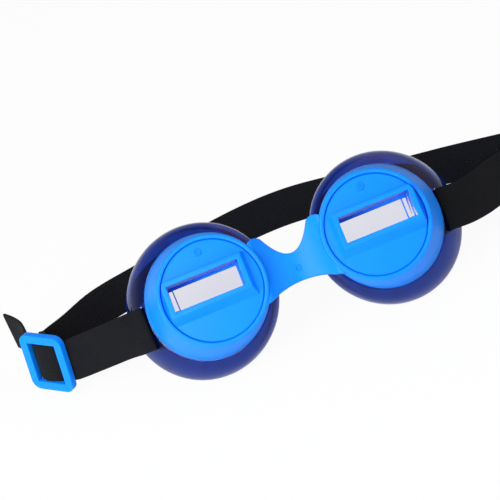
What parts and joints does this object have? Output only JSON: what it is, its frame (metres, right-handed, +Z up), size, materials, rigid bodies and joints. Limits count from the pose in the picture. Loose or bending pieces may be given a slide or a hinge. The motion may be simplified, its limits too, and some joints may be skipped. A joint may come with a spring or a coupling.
{
  "type": "inverting goggles",
  "caption": "Goggles with round blue eye cups, prism windows that turn the view upside down, flared face shields and an elastic strap with a slide buckle",
  "frame": {"origin": "on the table, in the middle of the room that the goggles and their strap take", "axes": "+Z up from the table, +X along the pair of cups to the right as seen from the front, the fronts face -Y and lean back"},
  "size_m": [0.2159, 0.1046, 0.0535],
  "materials": {
    "blue_plastic": "glossy",
    "navy_translucent_plastic": "glossy, translucent",
    "clear_acrylic": "polished, clear",
    "black_elastic": "ribbed elastic webbing"
  },
  "bodies": {
    "goggles": {"front_frame": "blue_plastic", "lens_cap_left": "blue_plastic", "lens_cap_right": "blue_plastic", "prism_left": "clear_acrylic", "prism_right": "clear_acrylic", "prism_retainer_left": "blue_plastic", "prism_retainer_right": "blue_plastic", "eye_shield_left": "navy_translucent_plastic", "eye_shield_right": "navy_translucent_plastic", "strap_front_left": "black_elastic", "strap_back": "black_elastic"},
    "buckle": {"slide_buckle": "blue_plastic", "strap_adjuster_end": "black_elastic", "strap_sewn_loop": "black_elastic"}
  },
  "joints": [
    {"name": "buckle_slide", "type": "slide", "parent": "goggles", "child": "buckle", "axis": [0.8541, -0.448, 0.2641], "range_m": [-0.009, 0.004]}
  ]
}
